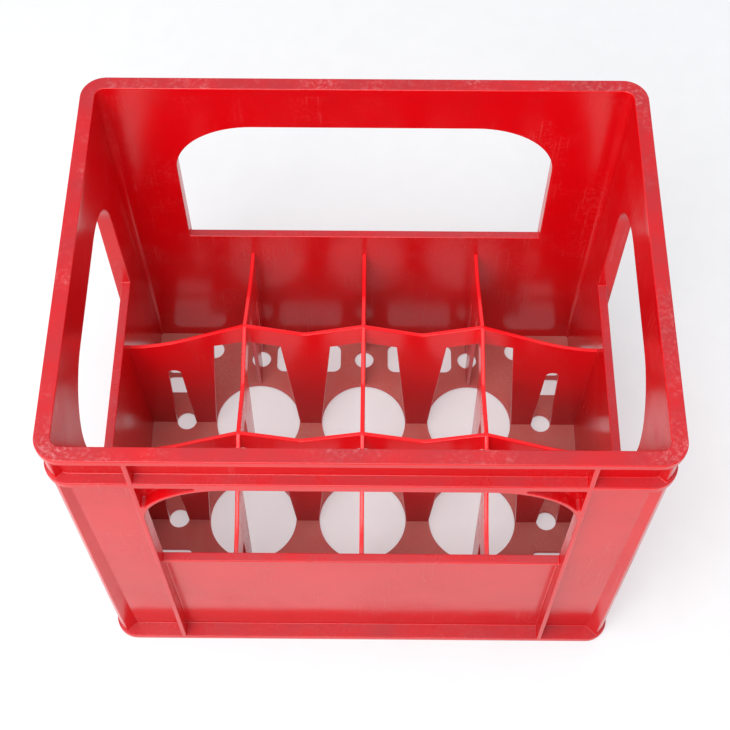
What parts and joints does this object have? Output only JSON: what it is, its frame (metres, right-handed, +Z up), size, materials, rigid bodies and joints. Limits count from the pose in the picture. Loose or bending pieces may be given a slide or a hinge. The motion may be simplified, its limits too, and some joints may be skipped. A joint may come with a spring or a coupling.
{
  "type": "milk bottle crate",
  "caption": "Open-topped plastic crate for milk bottles, with an arched hand opening in each wall and an egg-box of low dividers over a pierced floor.",
  "frame": {"origin": "on the ground under the centre of the crate", "axes": "+X along the crate's length, to the right seen from the front; +Y to the rear; +Z up"},
  "size_m": [0.4, 0.3, 0.34],
  "materials": {
    "wall_plastic": "glossy moulded polyethylene",
    "rim_plastic": "glossy moulded polyethylene, scuffed along the top",
    "divider_plastic": "glossy moulded polyethylene",
    "floor_plastic": "moulded polyethylene, dulled by use"
  },
  "bodies": {
    "root": {"corner_front_left": "wall_plastic", "corner_front_right": "wall_plastic", "corner_rear_left": "wall_plastic", "corner_rear_right": "wall_plastic", "crosswise_divider_left": "divider_plastic", "crosswise_divider_middle": "divider_plastic", "crosswise_divider_right": "divider_plastic", "floor_plate": "floor_plastic", "foot_flange": "wall_plastic", "front_arch": "wall_plastic", "front_header": "wall_plastic", "front_lower_panel": "wall_plastic", "front_rib_left": "wall_plastic", "front_rib_right": "wall_plastic", "front_sill": "wall_plastic", "left_arch": "wall_plastic", "left_header": "wall_plastic", "left_lower_panel": "wall_plastic", "left_rib_front": "wall_plastic", "left_rib_rear": "wall_plastic", "left_sill": "wall_plastic", "lengthwise_divider_front": "divider_plastic", "lengthwise_divider_rear": "divider_plastic", "rear_arch": "wall_plastic", "rear_header": "wall_plastic", "rear_lower_panel": "wall_plastic", "rear_rib_left": "wall_plastic", "rear_rib_right": "wall_plastic", "rear_sill": "wall_plastic", "right_arch": "wall_plastic", "right_header": "wall_plastic", "right_lower_panel": "wall_plastic", "right_rib_front": "wall_plastic", "right_rib_rear": "wall_plastic", "right_sill": "wall_plastic", "top_rim": "rim_plastic", "upper_flange": "wall_plastic"}
  },
  "joints": []
}
